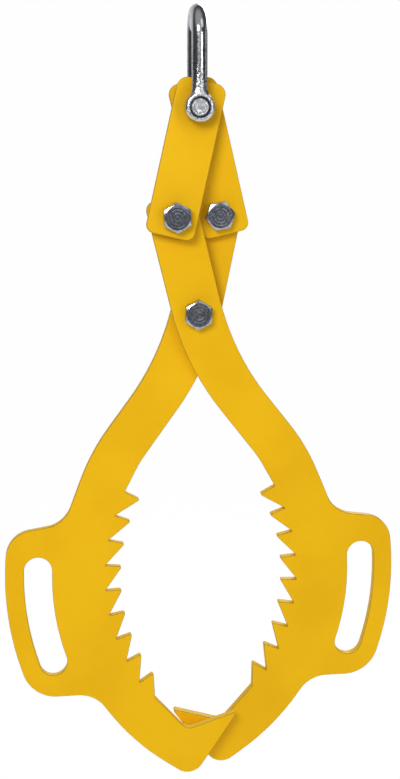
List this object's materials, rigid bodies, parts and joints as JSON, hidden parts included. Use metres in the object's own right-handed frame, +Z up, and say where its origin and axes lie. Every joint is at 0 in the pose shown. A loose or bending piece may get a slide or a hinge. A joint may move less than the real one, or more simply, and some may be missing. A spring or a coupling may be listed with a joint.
{
  "type": "log tongs",
  "caption": "Hanging log tongs: crossed flat arms with toothed jaws and hand slots, folding links and a screw-pin shackle.",
  "frame": {"origin": "seat of the hook, inside the crown of the shackle's bow", "axes": "+Z up along the tongs, -Y to the front where the bolt heads show, +X to the right jaw"},
  "size_m": [0.34, 0.0814, 0.6583],
  "materials": {
    "yellow_paint": "satin powder coat on steel plate",
    "zinc_plate": "bright zinc plate on a forging",
    "galvanised": "galvanised steel",
    "nylon": "natural nylon"
  },
  "bodies": {
    "shackle": {"shackle_bow": "zinc_plate"},
    "pin": {"shackle_pin": "zinc_plate"},
    "left_link": {"left_link": "yellow_paint"},
    "right_link": {"right_link": "yellow_paint"},
    "front_arm": {"front_arm": "yellow_paint", "left_bolt": "galvanised", "left_nut": "galvanised", "left_insert": "nylon", "left_washer": "galvanised", "pivot_bolt": "galvanised", "pivot_nut": "galvanised", "pivot_insert": "nylon", "pivot_washer": "galvanised", "pivot_spacer": "galvanised"},
    "rear_arm": {"rear_arm": "yellow_paint", "right_bolt": "galvanised", "right_nut": "galvanised", "right_insert": "nylon", "right_washer": "galvanised"}
  },
  "joints": [
    {"name": "tongs_swing", "type": "hinge", "parent": "shackle", "child": "pin", "pos_m": [0, 0, -0.069], "axis": [0, 1, 0], "range_deg": [-90, 90]},
    {"name": "left_link_fold", "type": "hinge", "parent": "pin", "child": "left_link", "pos_m": [0, 0, -0.069], "axis": [0, 1, 0], "range_deg": [0, 32]},
    {"name": "right_link_fold", "type": "hinge", "parent": "pin", "child": "right_link", "pos_m": [0, 0, -0.069], "axis": [0, 1, 0], "range_deg": [-32, 0]},
    {"name": "left_bolt_turn", "type": "hinge", "parent": "left_link", "child": "front_arm", "pos_m": [-0.01885, 0, -0.157], "axis": [0, 1, 0], "range_deg": [-67.34, 0]},
    {"name": "jaws_open", "type": "hinge", "parent": "front_arm", "child": "rear_arm", "pos_m": [0, 0, -0.23835], "axis": [0, 1, 0], "range_deg": [0, 70.62]}
  ],
  "couplings": [
    {"joint": "right_link_fold", "follows": "left_link_fold", "ratio": -1},
    {"joint": "left_bolt_turn", "follows": "left_link_fold", "ratio": -2.1027},
    {"joint": "jaws_open", "follows": "left_link_fold", "ratio": 2.2054}
  ]
}
